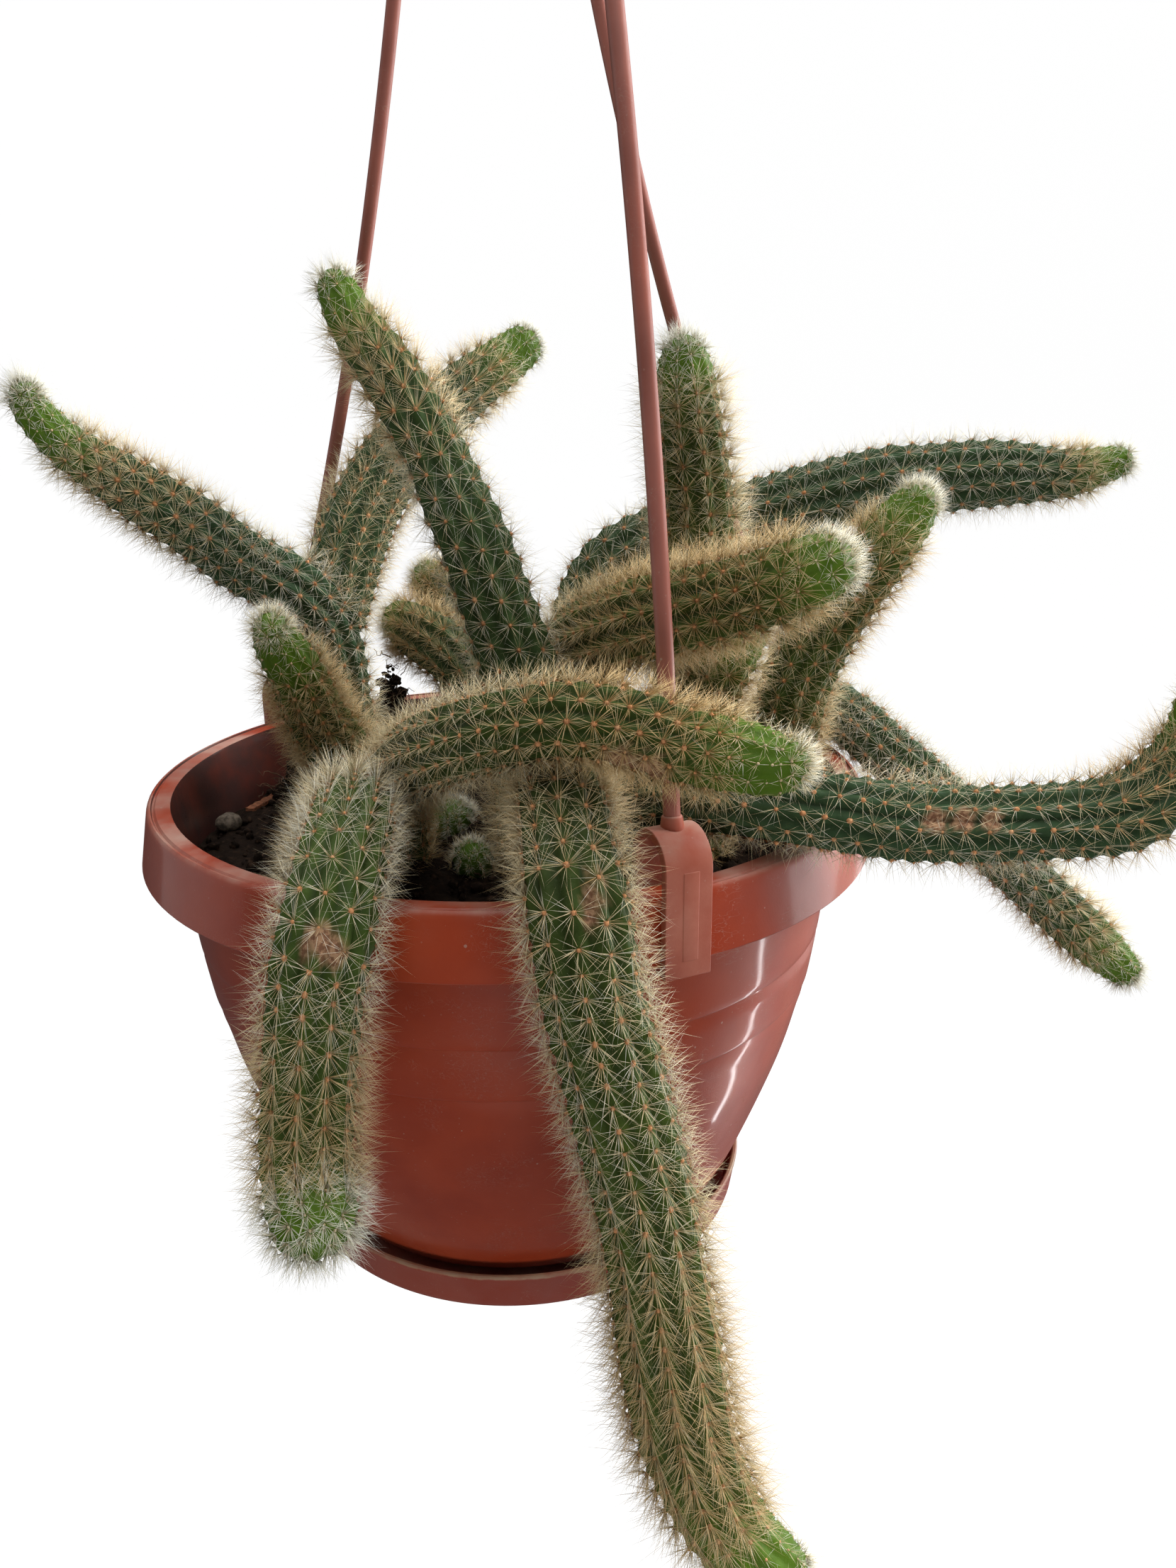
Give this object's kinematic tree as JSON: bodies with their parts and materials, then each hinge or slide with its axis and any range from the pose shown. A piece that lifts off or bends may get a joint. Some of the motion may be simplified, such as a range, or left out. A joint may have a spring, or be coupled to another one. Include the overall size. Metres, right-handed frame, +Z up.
{
  "type": "potted trailing columnar cactus in a hanging pot",
  "caption": "Trailing columnar cactus whose spiny stems lean out and spill over the rim of a round plastic pot, hung by rods from a hook.",
  "frame": {"origin": "the point inside the top of the hook where it rests on its rail or peg; the rim's top is 0.450 m below it", "axes": "+Z up along the pot's axis; -Y is the front, where the longest stem hangs down; +X is the right seen from the front"},
  "size_m": [0.3228, 0.2588, 0.6301],
  "materials": {
    "pot_plastic": "glossy moulded terracotta plastic, lightly scratched and dusty",
    "saucer_plastic": "the same plastic, duller, with dust along its top edge",
    "clip_plastic": "satin terracotta plastic, dusty",
    "hanger_plastic": "satin dusty rose-brown plastic",
    "soil": "dark crumbly potting soil with fine roots",
    "stone": "rough pale pebble",
    "bark": "dry orange-brown bark",
    "cactus_flesh": "waxy dark green ribbed skin under cream and golden spines, bright green at the tips",
    "cactus_spines": "stiff cream and golden spines that radiate from orange-tan woolly areoles; on the visual model only",
    "young_cactus_flesh": "mid green young skin under short white hairs"
  },
  "bodies": {
    "root": {"pot": "pot_plastic", "saucer": "saucer_plastic", "soil": "soil", "stone": "stone", "bark_chip": "bark", "hanger_hook": "hanger_plastic", "stem_left_low": "cactus_flesh", "stem_left_high": "cactus_flesh", "stem_tall_left": "cactus_flesh", "stem_tall_right": "cactus_flesh", "stem_front_right": "cactus_flesh", "stem_front_arch": "cactus_flesh", "stem_back_right": "cactus_flesh", "stem_right_up": "cactus_flesh", "stem_right_long": "cactus_flesh", "stem_right_low": "cactus_flesh", "stem_front_left": "cactus_flesh", "stem_front_long": "cactus_flesh", "stem_small_left": "cactus_flesh", "stem_back_low": "cactus_flesh", "stem_back_small": "cactus_flesh", "stem_right_short": "cactus_flesh", "pup_back": "young_cactus_flesh", "pup_front": "young_cactus_flesh", "rim_clip_front": "clip_plastic", "rim_clip_left": "clip_plastic", "rim_clip_right": "clip_plastic", "hanger_rod_front": "hanger_plastic", "hanger_rod_left": "hanger_plastic", "hanger_rod_right": "hanger_plastic"}
  },
  "joints": []
}
